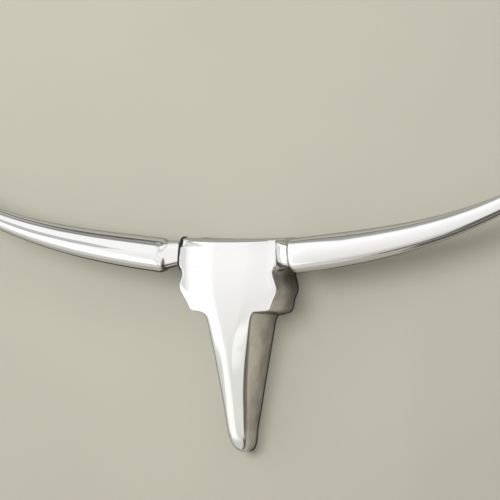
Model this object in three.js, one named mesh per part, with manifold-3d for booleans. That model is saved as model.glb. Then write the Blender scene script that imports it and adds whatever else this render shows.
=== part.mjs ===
// A longhorn skull to hang on a wall, cast in aluminium and polished.
// The head is a hollow casting, open at the back. Each horn is a casting of its own, bolted to the
// side of the head through a rubber gasket, and a steel strap across the back hangs on two screws.
// Millimetres. The wall is the plane Y = 0, the skull stands out from it towards -Y, +X is to the
// right of someone who looks at it, +Z is up, and the origin is the middle of the strap's back face.
import * as THREE from 'three';
import { mergeVertices } from 'three/addons/utils/BufferGeometryUtils.js';
import Module from 'manifold-3d';

const wasm = await Module();
wasm.setup();

const gap = 0.3; // between two pieces that touch

// Head, seen from the front: half widths and heights.
const browHalfWidth = 95.5;
const browHeight = 19;
const browDip = 3; // the top edge is lower in the middle
const browDipStart = -30; // and the front follows it from this height up
const waistHalfWidth = 91.2;
const waistHeight = -42;
const cheekHalfWidth = 99.8;
const cheekHeight = -72;
const jawHalfWidth = 83.5;
const jawHeight = -110;

// Muzzle, below the ledge under the jaw.
const muzzleTopHalfWidth = 50.5;
const muzzleTopHeight = -114;
const muzzleEndHalfWidth = 17;
const muzzleEndHeight = -348;
const muzzleTipLength = 31;
const muzzleTipSweep = 83; // degrees of the round tip on either side, the rest is a small flat

// Casting.
const wallThickness = 5;
const edgeRounding = 6;
const cutPastBack = 6; // how far the hollow is cut past the plane of the wall

// Horn.
const hornLength = 740; // along its curve, from the shoulder to the tip
const hornRootRadius = 32.6;
const hornTipRadius = 7;
const hornRootX = 133;
const hornRootOut = 89;
const hornRootHeight = -10.5;
const hornRootRise = 7; // degrees above level
const hornTipRise = 60;
const hornRiseCurve = 1.85; // above 1 the horn turns up mostly in its outer part
const hornTaperCurve = 0.88;
const hornForward = 3.5; // degrees away from the wall, all along
const hornRings = 26;
const hornSides = 20;
// The castings are finished by hand: the left horn's shoulder is further along it than the right's.
const shoulderAt = { left: 6, right: -6 };

// Where the horns meet the head: a round pad, a gasket and the horn's neck, all on one axis.
// Distances along that axis are from the pad's face, outwards.
const padX = 98; // half the distance between the middles of the two pads' faces
const jointOut = 78; // from the wall
const jointHeight = -6.5;
const jointRise = 4.5; // degrees above level
const jointForward = 6; // degrees away from the wall
const padRadius = 30.5;
const padDepth = 16;
const spotFaceClearance = 1.5; // round the gasket
const gasketRadius = { left: 32, right: 30 }; // the right one is trimmed closer
const gasketThickness = 3;
const neckStart = gasketThickness + 2 * gap;
const neckRadius = 24;

// Bolt that holds a horn, from inside the head.
const boltRadius = 6;
const boltHeadRadius = 10.97; // to the corners, 19 mm across the flats
const boltHeadHeight = 8;
const boltHoleRadius = boltRadius + 0.4;
const boltReach = 22; // into the neck
const boltHoleDepth = 24;
const washerRadius = 12;
const washerThickness = 2.5;
const seatFace = -15; // the flat inside the head that the washer lies on
const seatRadius = 18;

// Strap with two keyholes, on two lugs, each with a countersunk screw.
const strapHalfLength = 90;
const strapHalfHeight = 15;
const strapThickness = 3;
const keyholeSpacing = 80;
const keyholeRadius = 6;
const keyholeSlotHalfWidth = 3;
const keyholeSlotRise = 9; // from the round hole's centre to the top of the slot
const keyholeDrop = 4; // the round hole's centre is lower than the strap's middle
const lugCentre = 82;
const lugInner = 73;
const lugOuter = 97;
const lugDepth = 15;
const lugFace = -strapThickness - gap;
const screwRadius = 3;
const screwHeadRadius = 6;
const screwHeadDepth = 2.8;
const screwLength = 15;
const screwHoleRadius = screwRadius + gap;
const screwHoleDepth = 16.5;
const overcut = 0.01; // how far a cutting shape passes a flat face

const polishedAluminium = { color: 0xe4e3df, roughness: 0.12, metalness: 1 };
const blackRubber = { color: 0x101010, roughness: 0.65, metalness: 0 };
const zincPlatedSteel = { color: 0xb4b7ba, roughness: 0.35, metalness: 1 };

const geometryAxis = new THREE.Vector3(0, 1, 0); // of a cylinder or lathe before it is turned

const parts = new THREE.Group();

function addPiece(group, name, geometry, finish) {
  const piece = new THREE.Mesh(geometry, new THREE.MeshStandardMaterial(finish));
  piece.name = name;
  group.add(piece);
  return piece;
}

function toSolid(geometry) {
  const bare = geometry.clone();
  bare.deleteAttribute('normal');
  bare.deleteAttribute('uv');
  const merged = mergeVertices(bare, 1e-4);
  return new wasm.Manifold(
    new wasm.Mesh({
      numProp: 3,
      vertProperties: merged.attributes.position.array,
      triVerts: new Uint32Array(merged.index.array),
    }),
  );
}

function toGeometry(solid) {
  const mesh = solid.getMesh();
  const geometry = new THREE.BufferGeometry();
  geometry.setAttribute('position', new THREE.BufferAttribute(mesh.vertProperties, 3));
  geometry.setIndex(new THREE.BufferAttribute(mesh.triVerts, 1));
  geometry.computeVertexNormals();
  return geometry;
}

// A smooth value along the head's height, through [height, value] pairs given from the bottom up.
function alongHeight(pairs) {
  const heights = pairs.map(([height]) => height);
  const values = pairs.map(([, value]) => value);
  const curve = new THREE.CubicInterpolant(heights, values, 1);
  return (height) => {
    const inside = THREE.MathUtils.clamp(height, heights[0], heights.at(-1));
    return curve.evaluate(inside)[0];
  };
}

// How far the middle of the front stands out from the wall.
const standOut = alongHeight([
  [-379, 35],
  [-348, 57],
  [-291, 76],
  [-236, 91.5],
  [-180, 101.5],
  [-120, 108],
  [-50, 111.5],
  [browHeight, 106],
]);
// The front has a flat band down its middle, with a facet on either side that leans back.
const bandHalfWidth = alongHeight([
  [-379, 1],
  [-348, 4.5],
  [-290, 6.5],
  [-180, 8],
  [jawHeight, 24],
  [browHeight, 33],
]);
const facetLean = alongHeight([
  [-379, 0.35],
  [-292, 0.35],
  [-208, 0.3],
  [-154, 0.2],
  [jawHeight, 0.12],
  [browHeight, 0.1],
]);

// The right half of the head's outline, from the top edge down to the tip of the muzzle.
function headOutline() {
  const side = new THREE.SplineCurve([
    new THREE.Vector2(browHalfWidth, browHeight),
    new THREE.Vector2(97, -6),
    new THREE.Vector2(96.5, -22),
    new THREE.Vector2(waistHalfWidth, waistHeight),
    new THREE.Vector2(cheekHalfWidth, cheekHeight),
    new THREE.Vector2(92, -94),
    new THREE.Vector2(jawHalfWidth, jawHeight),
  ]);
  const muzzle = new THREE.SplineCurve([
    new THREE.Vector2(muzzleTopHalfWidth, muzzleTopHeight),
    new THREE.Vector2(45, -127),
    new THREE.Vector2(40, -154),
    new THREE.Vector2(31.6, -208),
    new THREE.Vector2(24.6, -264),
    new THREE.Vector2(19.5, -320),
    new THREE.Vector2(muzzleEndHalfWidth, muzzleEndHeight),
  ]);
  const tip = [];
  const tipSteps = 6;
  for (let i = 1; i <= tipSteps; i++) {
    const angle = (i / tipSteps) * THREE.MathUtils.degToRad(muzzleTipSweep);
    const x = muzzleEndHalfWidth * Math.cos(angle);
    tip.push(new THREE.Vector2(x, muzzleEndHeight - muzzleTipLength * Math.sin(angle)));
  }
  return [...side.getPoints(16), ...muzzle.getPoints(14), ...tip];
}

// Each point of an outline moved outwards, square to the outline, by its own amount.
function moveOut(outline, amountAt) {
  const last = outline.length - 1;
  return outline.map((point, i) => {
    const before = i > 0 ? outline[i - 1] : new THREE.Vector2(0, point.y);
    const after = i < last ? outline[i + 1] : new THREE.Vector2(0, point.y);
    const a = point.clone().sub(before).normalize();
    const b = after.clone().sub(point).normalize();
    const normalA = new THREE.Vector2(-a.y, a.x);
    const normalB = new THREE.Vector2(-b.y, b.x);
    const middle = normalA.clone().add(normalB).normalize();
    const stretch = 1 / Math.max(0.6, middle.dot(normalA));
    return point.clone().addScaledVector(middle, amountAt(point, i) * stretch);
  });
}

// Draft: how much wider the casting grows per millimetre towards the wall.
const headDraft = alongHeight([
  [jawHeight, 0.05],
  [cheekHeight, 0.03],
  [waistHeight, 0.03],
  [browHeight, 0.05],
]);
const muzzleDraft = alongHeight([
  [-379, 0],
  [-348, 0],
  [-291, 0.06],
  [-236, 0.09],
  [-130, 0.095],
  [muzzleTopHeight, 0.12],
]);

function draftAt(height) {
  return height < jawHeight ? muzzleDraft(height) : headDraft(height);
}

// The front rolls back to the top edge.
function topRounding(height) {
  const over = THREE.MathUtils.clamp(1 - (browHeight - height) / edgeRounding, 0, 1);
  return edgeRounding * (1 - Math.sqrt(1 - over ** 2));
}

// A closed skin over the outline's rows. Each row is a loop: out along one side wall, over the
// front with its band and facets, and back along the other side wall.
function headForm(outline, inset, backPlane) {
  const front = moveOut(outline, () => -inset);
  const reach = (height) => standOut(height) - inset;
  const depthAt = (height) => reach(height) + backPlane;
  const back = moveOut(front, (point, i) => draftAt(outline[i].y) * depthAt(outline[i].y));
  const positions = [];
  const index = [];
  front.forEach((point, i) => {
    const height = outline[i].y;
    const half = point.x;
    const band = Math.min(bandHalfWidth(height), half / 2);
    const rounding = Math.min(edgeRounding, half / 3);
    const middle = reach(height) - topRounding(height);
    const corner = middle - facetLean(height) * (half - rounding - band);
    const dipFade = THREE.MathUtils.smoothstep(height, browDipStart, browHeight);
    const halfRow = [
      [band, middle, point.y],
      [half - rounding, corner, point.y],
      [half, corner - rounding, point.y],
      [back[i].x, -backPlane, back[i].y],
    ];
    const row = [...halfRow.map(([x, out, z]) => [-x, out, z]).reverse(), ...halfRow];
    for (const [x, out, z] of row) {
      const dip = browDip * dipFade * Math.max(0, 1 - (x / browHalfWidth) ** 2);
      positions.push(x, -out, z - dip);
    }
  });
  const columns = 8;
  const rows = front.length;
  for (let i = 0; i < rows - 1; i++) {
    for (let j = 0; j < columns; j++) {
      const a = i * columns + j;
      const b = i * columns + ((j + 1) % columns);
      index.push(a, b + columns, b, a, a + columns, b + columns);
    }
  }
  for (let j = 1; j < columns - 1; j++) {
    const end = (rows - 1) * columns;
    index.push(0, j, j + 1);
    index.push(end, end + j + 1, end + j);
  }
  const geometry = new THREE.BufferGeometry();
  geometry.setAttribute('position', new THREE.Float32BufferAttribute(positions, 3));
  geometry.setIndex(index);
  return geometry;
}

// A unit vector that rises and comes forward by these angles on its way to one side.
function sideways(side, riseDegrees, forwardDegrees) {
  const rise = THREE.MathUtils.degToRad(riseDegrees);
  const forward = THREE.MathUtils.degToRad(forwardDegrees);
  const x = side * Math.cos(rise) * Math.cos(forward);
  return new THREE.Vector3(x, -Math.cos(rise) * Math.sin(forward), Math.sin(rise));
}

function onJointLine(along, side) {
  const place = new THREE.Vector3(side * padX, -jointOut, jointHeight);
  return place.addScaledVector(sideways(side, jointRise, jointForward), along);
}

// Turns and moves a geometry so that its own axis becomes the joint's.
function ontoJointLine(geometry, side) {
  const axis = sideways(side, jointRise, jointForward);
  const start = onJointLine(0, side);
  geometry.applyQuaternion(new THREE.Quaternion().setFromUnitVectors(geometryAxis, axis));
  return geometry.translate(start.x, start.y, start.z);
}

// A cylinder on the joint's axis, from one distance along it to another.
function onJointAxis(radius, from, to, side, segments = 24) {
  const geometry = new THREE.CylinderGeometry(radius, radius, to - from, segments);
  geometry.translate(0, (from + to) / 2, 0);
  return toSolid(ontoJointLine(geometry, side));
}

// A cylinder or cone square to the wall, from one distance off the wall to another.
function squareToWall(radiusAtWall, radiusInside, from, to, x, z) {
  const geometry = new THREE.CylinderGeometry(radiusAtWall, radiusInside, to - from, 20);
  geometry.translate(x, -(from + to) / 2, z);
  return toSolid(geometry);
}

function blockBetween(low, high) {
  const size = high.clone().sub(low);
  const geometry = new THREE.BoxGeometry(size.x, size.y, size.z);
  const middle = low.clone().add(high).multiplyScalar(0.5);
  geometry.translate(middle.x, middle.y, middle.z);
  return toSolid(geometry);
}

// The head casting: the outer form with its two pads, less the hollow, plus seats and lugs.
function makeHead() {
  const outline = headOutline();
  let outer = toSolid(headForm(outline, 0, 0));
  let inside = toSolid(headForm(outline, wallThickness, cutPastBack));
  for (const side of [-1, 1]) {
    outer = outer.add(onJointAxis(padRadius, -padDepth, 0, side, 32));
    inside = inside.subtract(onJointAxis(seatRadius, seatFace, 0, side));
    const lugSides = [side * lugInner, side * lugOuter];
    const low = new THREE.Vector3(Math.min(...lugSides), lugFace - lugDepth, -strapHalfHeight);
    const high = new THREE.Vector3(Math.max(...lugSides), lugFace, strapHalfHeight);
    inside = inside.subtract(blockBetween(low, high));
  }
  let head = outer.subtract(inside);
  const spotFaceRadius = gasketRadius.left + spotFaceClearance;
  const lugHole = [screwHoleRadius, screwHoleRadius, 0, screwHoleDepth];
  for (const side of [-1, 1]) {
    head = head.subtract(onJointAxis(spotFaceRadius, 0, padDepth, side, 32));
    head = head.subtract(onJointAxis(boltHoleRadius, seatFace - gap, gap, side, 20));
    head = head.subtract(squareToWall(...lugHole, side * lugCentre, 0));
  }
  return toGeometry(head);
}

// Where the horn's centre line is at a distance along it, by adding up small steps of its heading.
function hornLineAt(along) {
  const steps = Math.max(1, Math.ceil(Math.abs(along) / 4));
  const step = along / steps;
  const place = new THREE.Vector3(hornRootX, -hornRootOut, hornRootHeight);
  for (let i = 0; i < steps; i++) {
    place.addScaledVector(hornHeading((i + 0.5) * step), step);
  }
  return place;
}

function hornHeading(along) {
  const share = THREE.MathUtils.clamp(along / hornLength, 0, 1);
  const rise = hornRootRise + (hornTipRise - hornRootRise) * share ** hornRiseCurve;
  return sideways(1, rise, hornForward);
}

// Half the horn's thickness past the shoulder, with a round tip.
function hornRadius(along) {
  const share = Math.max(0, along) / hornLength;
  const taper = Math.sin((Math.PI / 2) * share ** hornTaperCurve) ** 2;
  const radius = hornRootRadius - (hornRootRadius - hornTipRadius) * taper;
  const past = Math.max(0, along - (hornLength - hornTipRadius)) / hornTipRadius;
  return radius * Math.sqrt(Math.max(0, 1 - past ** 2));
}

// The horn as if its axis were straight: radii and distances along it, from the neck's end.
function hornProfile(neckEnd, shoulder) {
  const neckLength = shoulder - neckEnd;
  const neck = [
    [0, 0],
    [neckRadius - 1, 0],
    [neckRadius, 0.05],
    [neckRadius + 1.4, 0.3],
    [neckRadius + 2, 0.6],
    [neckRadius + 1.4, 0.86],
    [neckRadius + 2, 0.93],
  ];
  const profile = neck.map(([radius, share]) => [radius, neckEnd + neckLength * share]);
  profile.push([hornRootRadius - 2, shoulder], [hornRootRadius - 0.8, shoulder + 2]);
  const bodyStart = shoulder + 6;
  const bodyLength = hornLength - hornTipRadius - bodyStart;
  for (let i = 0; i <= hornRings; i++) {
    const along = bodyStart + (bodyLength * i) / hornRings;
    profile.push([hornRadius(along), along]);
  }
  for (const share of [0.4, 0.75, 0.95]) {
    const along = hornLength - hornTipRadius * (1 - share);
    profile.push([hornRadius(along), along]);
  }
  profile.push([0, hornLength]);
  return profile.map(([radius, along]) => new THREE.Vector2(radius, along));
}

// The straight form bent so that its axis follows the horn's line, with the neck's axis sloping
// from the gasket to the shoulder, and the hole for the bolt drilled into the neck.
function makeHorn(shoulder) {
  const neckStartPlace = onJointLine(neckStart, 1);
  const shoulderPlace = hornLineAt(shoulder);
  const neckEnd = shoulder - neckStartPlace.distanceTo(shoulderPlace);
  const geometry = new THREE.LatheGeometry(hornProfile(neckEnd, shoulder), hornSides);
  const position = geometry.attributes.position;
  const neckHeading = sideways(1, jointRise, jointForward);
  for (let i = 0; i < position.count; i++) {
    const along = position.getY(i);
    const neckShare = (along - neckEnd) / (shoulder - neckEnd);
    const place = along < shoulder
      ? neckStartPlace.clone().lerp(shoulderPlace, neckShare)
      : hornLineAt(along);
    const turned = THREE.MathUtils.smoothstep(along, shoulder - 2, shoulder + 8);
    const heading = neckHeading.clone().lerp(hornHeading(along), turned).normalize();
    const across = heading.clone().cross(geometryAxis).normalize();
    const outward = across.clone().cross(heading).normalize();
    place.addScaledVector(across, position.getX(i));
    place.addScaledVector(outward, position.getZ(i));
    position.setXYZ(i, place.x, place.y, place.z);
  }
  const hole = onJointAxis(boltHoleRadius, neckStart - gap, neckStart + boltHoleDepth, 1, 20);
  return toGeometry(toSolid(geometry).subtract(hole));
}

function makeRing(radius, holeRadius, from, thickness) {
  const to = from + thickness;
  const corners = [[holeRadius, from], [radius, from], [radius, to], [holeRadius, to], [holeRadius, from]];
  const profile = corners.map(([distance, along]) => new THREE.Vector2(distance, along));
  const ring = ontoJointLine(new THREE.LatheGeometry(profile, 32), 1);
  return toGeometry(toSolid(ring));
}

function makeBolt() {
  const headEnd = seatFace - washerThickness - 2 * gap;
  const head = onJointAxis(boltHeadRadius, headEnd - boltHeadHeight, headEnd, 1, 6);
  return toGeometry(head.add(onJointAxis(boltRadius, headEnd - gap, neckStart + boltReach, 1, 20)));
}

// The horn with what fastens it, on the right; the left side is its mirror image.
function makeHornSide(name) {
  const group = new THREE.Group();
  addPiece(group, `${name}_horn`, makeHorn(shoulderAt[name]), polishedAluminium);
  const gasket = makeRing(gasketRadius[name], boltHoleRadius, gap, gasketThickness);
  addPiece(group, `${name}_horn_gasket`, gasket, blackRubber);
  const washerFrom = seatFace - gap - washerThickness;
  const washer = makeRing(washerRadius, boltHoleRadius, washerFrom, washerThickness);
  addPiece(group, `${name}_horn_washer`, washer, zincPlatedSteel);
  addPiece(group, `${name}_horn_bolt`, makeBolt(), zincPlatedSteel);
  return group;
}

function keyholeOutline(x) {
  const hole = new THREE.Path();
  const slotTop = keyholeSlotRise - keyholeDrop;
  const mouth = Math.asin(keyholeSlotHalfWidth / keyholeRadius);
  hole.absarc(x, -keyholeDrop, keyholeRadius, Math.PI / 2 + mouth, Math.PI * 2.5 - mouth, false);
  hole.absarc(x, slotTop, keyholeSlotHalfWidth, 0, Math.PI, false);
  hole.closePath();
  return hole;
}

function makeStrap() {
  const outline = new THREE.Shape();
  outline.moveTo(-strapHalfLength, -strapHalfHeight);
  outline.lineTo(strapHalfLength, -strapHalfHeight);
  outline.lineTo(strapHalfLength, strapHalfHeight);
  outline.lineTo(-strapHalfLength, strapHalfHeight);
  outline.closePath();
  for (const side of [-1, 1]) {
    outline.holes.push(keyholeOutline((side * keyholeSpacing) / 2));
  }
  const options = { depth: strapThickness, bevelEnabled: false, curveSegments: 10 };
  const geometry = new THREE.ExtrudeGeometry(outline, options);
  geometry.rotateX(Math.PI / 2);
  let strap = toSolid(geometry);
  const coneSpread = screwHeadRadius - screwRadius;
  const wide = screwHeadRadius + 2 * gap;
  for (const side of [-1, 1]) {
    const x = side * lugCentre;
    const cone = [wide, wide - coneSpread, -overcut, strapThickness + overcut];
    strap = strap.subtract(squareToWall(...cone, x, 0));
  }
  return toGeometry(strap);
}

function makeScrew(x) {
  const head = squareToWall(screwHeadRadius, screwRadius, gap, gap + screwHeadDepth, x, 0);
  const shank = squareToWall(screwRadius, screwRadius, screwHeadDepth, screwLength, x, 0);
  return toGeometry(head.add(shank));
}

addPiece(parts, 'head', makeHead(), polishedAluminium);
parts.add(makeHornSide('right'));
const leftSide = makeHornSide('left');
leftSide.scale.x = -1;
parts.add(leftSide);
addPiece(parts, 'hanger_strap', makeStrap(), zincPlatedSteel);
addPiece(parts, 'left_strap_screw', makeScrew(-lugCentre), zincPlatedSteel);
addPiece(parts, 'right_strap_screw', makeScrew(lugCentre), zincPlatedSteel);

export default parts;
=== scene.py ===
import math

import bmesh
import bpy
import numpy as np
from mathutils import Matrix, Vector
from mathutils.geometry import tessellate_polygon


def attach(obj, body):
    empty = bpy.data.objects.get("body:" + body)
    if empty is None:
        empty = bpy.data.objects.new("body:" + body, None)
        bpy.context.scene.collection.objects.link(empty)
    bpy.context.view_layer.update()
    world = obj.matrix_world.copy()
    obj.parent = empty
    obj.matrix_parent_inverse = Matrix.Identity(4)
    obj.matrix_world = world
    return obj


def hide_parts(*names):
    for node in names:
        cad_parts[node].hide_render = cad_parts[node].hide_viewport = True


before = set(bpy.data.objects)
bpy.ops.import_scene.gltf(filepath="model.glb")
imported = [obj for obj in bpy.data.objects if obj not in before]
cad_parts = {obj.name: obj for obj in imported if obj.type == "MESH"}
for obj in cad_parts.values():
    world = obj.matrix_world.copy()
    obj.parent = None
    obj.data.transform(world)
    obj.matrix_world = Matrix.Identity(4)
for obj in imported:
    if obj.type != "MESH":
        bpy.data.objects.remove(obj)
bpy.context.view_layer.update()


# Head
# A hollow aluminium casting, open towards the wall, with a flat band down its front, a ledge under
# the jaw, a long muzzle, and on each side a pad that a horn is bolted against. The outside is ground
# and buffed by hand to a mirror.

MM = 0.001
BROW_HALF_WIDTH = 95.5
BROW_HEIGHT = 19.0
JAW_HEIGHT = -110.0
TIP_LENGTH = 33.5
WALL = 5.0
# The middle of the right pad's face: across, out from the wall and up.
PAD_X, PAD_OUT, PAD_Z = 98.0, 78.0, -6.5
# The pads are rounded squares. A higher power makes them squarer.
PAD_POWER = 2.8
# Nothing of a pad lies nearer to the middle than this.
PAD_INNER_EDGE = 80.0
# Half the height and half the depth of each pad, and how much its half of the front flares beside it.
PAD_SIZE = {-1: (31.0, 29.5), 1: (26.0, 27.0)}
FLARE = {-1: 0.32, 1: 0.03}


def smooth_curve(pairs):
    """A smooth value between the given (place, value) pairs, level beyond both ends."""
    at = np.array([p for p, _ in pairs], float)
    value = np.array([v for _, v in pairs], float)
    slope = np.gradient(value, at)

    def curve(place):
        x = np.clip(place, at[0], at[-1])
        i = np.clip(np.searchsorted(at, x, side="right") - 1, 0, len(at) - 2)
        width = at[i + 1] - at[i]
        t = (x - at[i]) / width
        rise = value[i + 1] - value[i]
        a = slope[i] * width
        b = slope[i + 1] * width
        return value[i] + t * (a + t * (3 * rise - 2 * a - b + t * (a + b - 2 * rise)))

    return curve


# Down the head, from the muzzle's tip at -379 to the brow at 19, as (height, value) pairs.
stand_out = smooth_curve([
    (-379, 39), (-348, 58), (-291, 76), (-236, 91.5),
    (-180, 101.5), (-120, 108), (-50, 111.5), (19, 106),
])
band_half = smooth_curve([(-379, 1), (-348, 4.5), (-290, 6.5), (-180, 8), (-110, 24), (19, 33)])
facet_lean = smooth_curve([
    (-379, 0.02), (-350, 0.14), (-325, 0.28), (-292, 0.35),
    (-208, 0.3), (-154, 0.2), (-110, 0.12), (19, 0.1),
])
head_draft = smooth_curve([
    (-114, 0.055), (-104, 0.04), (-92, 0.015), (-72, 0.015), (-42, 0.03), (19, 0.05),
])
muzzle_draft = smooth_curve([
    (-379, 0), (-348, 0), (-291, 0.06), (-236, 0.088), (-130, 0.088), (-114, 0.08),
])
crease_softness = smooth_curve([
    (-379, 14), (-360, 12), (-335, 5), (-300, 2.5), (-180, 2.5), (-110, 6), (19, 12),
])


def through(points, steps):
    """A smooth line through the points."""
    p = np.array(points, float)
    ends = np.vstack([2 * p[0] - p[1], p, 2 * p[-1] - p[-2]])
    out = []
    for i in range(len(p) - 1):
        a, b, c, d = ends[i : i + 4]
        for t in np.linspace(0, 1, steps, endpoint=False):
            out.append(0.5 * (
                2 * b + (c - a) * t + (2 * a - 5 * b + 4 * c - d) * t**2
                + (3 * b - a - 3 * c + d) * t**3
            ))
    out.append(p[-1])
    return np.array(out)


def distances(line):
    """How far along the line each of its points lies."""
    steps = np.linalg.norm(np.diff(line, axis=0), axis=1)
    return np.concatenate([[0], np.cumsum(steps)])


def resampled(line, count):
    along = distances(line)
    even = np.linspace(0, along[-1], count)
    return np.column_stack([np.interp(even, along, line[:, k]) for k in range(line.shape[1])])


def trimmed_end(line, reach):
    """The line without its last `reach` millimetres."""
    left = distances(line[::-1])[::-1]
    keep = line[left > reach]
    cut = np.array([np.interp(-reach, -left, line[:, k]) for k in range(2)])
    return np.vstack([keep, cut])


def rounded_corner(before, after, reach, steps=14):
    """Two lines joined by a rounded corner that starts `reach` millimetres from where they meet."""
    corner = before[-1]
    start = trimmed_end(before, reach)
    end = trimmed_end(after[::-1], reach)[::-1]
    t = np.linspace(0, 1, steps)[1:-1, None]
    bend = (1 - t) ** 2 * start[-1] + 2 * t * (1 - t) * corner + t**2 * end[0]
    return np.vstack([start, bend, end])


def straight(a, b, steps=24):
    t = np.linspace(0, 1, steps)[:, None]
    return np.array(a) * (1 - t) + np.array(b) * t


OUTLINE_POINTS = 330


def half_outline(side_points, muzzle_points, fillet):
    """From the middle of the top edge round to the tip of the muzzle, as (x, z)."""
    brow = straight((0, BROW_HEIGHT), (BROW_HALF_WIDTH, BROW_HEIGHT))
    side = through(side_points, 16)
    ledge = straight(side_points[-1], muzzle_points[0])
    muzzle = through(muzzle_points, 16)
    angle = np.linspace(0, math.pi / 2, 20)[1:, None]
    half_width, height = muzzle_points[-1]
    tip = np.hstack([half_width * np.cos(angle) ** 0.86, height - TIP_LENGTH * np.sin(angle) ** 0.86])
    line = rounded_corner(brow, side, 3.5)
    line = rounded_corner(line, ledge, 5.5)
    line = rounded_corner(line, muzzle, fillet)
    line = resampled(np.vstack([line, tip]), OUTLINE_POINTS)
    line[0, 0] = 0.0
    line[-1, 0] = 0.0
    heading = np.gradient(line, axis=0)
    heading[0] = (1, 0)
    heading[-1] = (-1, 0)
    heading /= np.linalg.norm(heading, axis=1)[:, None]
    return line, np.column_stack([-heading[:, 1], heading[:, 0]])


# The casting is finished by hand, so that its left (-1) and right (1) halves differ a little.
OUTLINES = {
    1: half_outline(
        [
            (BROW_HALF_WIDTH, BROW_HEIGHT), (97, -6), (96, -22), (90.6, -42), (98, -72), (90.5, -94),
            (82.5, -112.5),
        ],
        [(50.5, -115), (45, -127), (40, -154), (31.6, -208), (24.6, -264), (19.5, -320), (17, -348)],
        5.0,
    ),
    -1: half_outline(
        [
            (BROW_HALF_WIDTH, BROW_HEIGHT), (97, -6), (96.5, -22), (91.5, -42), (97.5, -72), (87.5, -93),
            (76.5, -113.5),
        ],
        [(50.5, -116), (45, -127), (40.5, -154), (32.4, -208), (26.2, -264), (22, -320), (20, -346)],
        9.0,
    ),
}


def smoothstep(low, high, x):
    t = np.clip((np.asarray(x, float) - low) / (high - low), 0.0, 1.0)
    return t * t * (3 - 2 * t)


def soft_above(x, softness):
    """x where it is positive, 0 where it is negative, with a soft bend between."""
    return 0.5 * (x + np.sqrt(x * x + softness * softness))


# The line through a horn's gasket, neck and bolt starts in the middle of the pad's face.
JOINT_START = np.array([PAD_X, -PAD_OUT, PAD_Z])
JOINT_RISE = math.radians(4.5)
JOINT_FORWARD = math.radians(6.0)
JOINT_AXIS = np.array([
    math.cos(JOINT_RISE) * math.cos(JOINT_FORWARD),
    -math.cos(JOINT_RISE) * math.sin(JOINT_FORWARD),
    math.sin(JOINT_RISE),
])
JOINT_ACROSS = np.cross(JOINT_AXIS, [0.0, 1.0, 0.0])
JOINT_ACROSS /= np.linalg.norm(JOINT_ACROSS)
JOINT_UP = np.cross(JOINT_ACROSS, JOINT_AXIS)


def joint_place(x, out, z, side):
    """Distance along the joint's line past the pad's face, and how far out on the pad: 1 is its edge."""
    offset = np.stack([np.abs(x), -out, z], axis=-1) - JOINT_START
    along = offset @ JOINT_AXIS
    upright = np.abs(offset @ JOINT_ACROSS) / PAD_SIZE[side][0]
    outward = np.abs(offset @ JOINT_UP) / PAD_SIZE[side][1]
    return along, (upright**PAD_POWER + outward**PAD_POWER) ** (1 / PAD_POWER)


def wall_spread(outline, outwards):
    """How far the side wall moves out, in x and z, on its way from the front to the wall."""
    x, z = outline[:, 0], outline[:, 1]
    cheek = outwards * (head_draft(z) * stand_out(z))[:, None]
    muzzle = np.column_stack([muzzle_draft(z) * stand_out(z), -7.0 * smoothstep(-175, -118, z)])
    share = (smoothstep(80, 52, x) * (z < -100))[:, None]
    return (cheek * (1 - share) + muzzle * share).T


def front_height(x, z, side):
    """How far the front stands out from the wall; side is -1 on the left, where it is flared."""
    wide = 5.0 * smoothstep(-130, -175, z) * smoothstep(-372, -330, z) * (side < 0)
    band = band_half(z) + wide
    softness = crease_softness(z) + wide
    past_band = soft_above(x - band, softness) - soft_above(-band, softness)
    height = stand_out(z) - facet_lean(z) * past_band
    flare = soft_above(x - PAD_INNER_EDGE, 5.0) * FLARE[side]
    cheek = soft_above(z + 79.5, 3.0) * FLARE[side] * 0.88
    flare = np.minimum(flare, cheek) * smoothstep(17, 2, z)
    step = 0.05 * soft_above(x - 50.0, 8.0) * smoothstep(2, 15, z) * (side < 0)
    return height + flare - step


def edge_radius(z, x, side):
    """How round the edge between the front and the sides is."""
    above = 6.0 - 2.0 * smoothstep(-50, -70, z)
    below = 9.0 if side < 0 else 3.0 + 4.5 * smoothstep(-125, -230, z)
    radius = np.where(z > JAW_HEIGHT - 5, above, below)
    tip = smoothstep(-345, -372, z)
    radius = radius * (1 - tip) + 8.6 * tip
    ledge = smoothstep(40, 55, x) * smoothstep(-104, -110, z)
    radius = radius * (1 - ledge) + 3.0 * ledge
    brow = smoothstep(12, 18, z)
    radius = radius * (1 - brow) + 4.0 * brow
    pad = smoothstep(36, 27, np.abs(z - PAD_Z)) * (x > PAD_INNER_EDGE)
    return radius * (1 - pad) + 1.6 * pad


def brow_dip(x, z):
    return 3.0 * smoothstep(-30, BROW_HEIGHT, z) * np.maximum(0, 1 - (x / BROW_HALF_WIDTH) ** 2)


def on_pad(x, out, z, wall, side):
    """Moves points on to the pad's flat face: all of a side wall's, others only inwards."""
    along, share = joint_place(x, out, z, side)
    near = smoothstep(1.3, 1.0, share)
    move = np.where(wall | (along > 0), -along, 0.0) * near * (x > PAD_INNER_EDGE)
    return x + move * JOINT_AXIS[0], out - move * JOINT_AXIS[1], z + move * JOINT_AXIS[2]


def top_boss(x, out, z):
    """The left pad shows as a low swelling on the top edge too."""
    ends = smoothstep(78, 94, x) * np.maximum(0, 1 - ((out - PAD_OUT) / 34) ** 2)
    return 3.0 * ends * smoothstep(8, BROW_HEIGHT, z)


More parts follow.
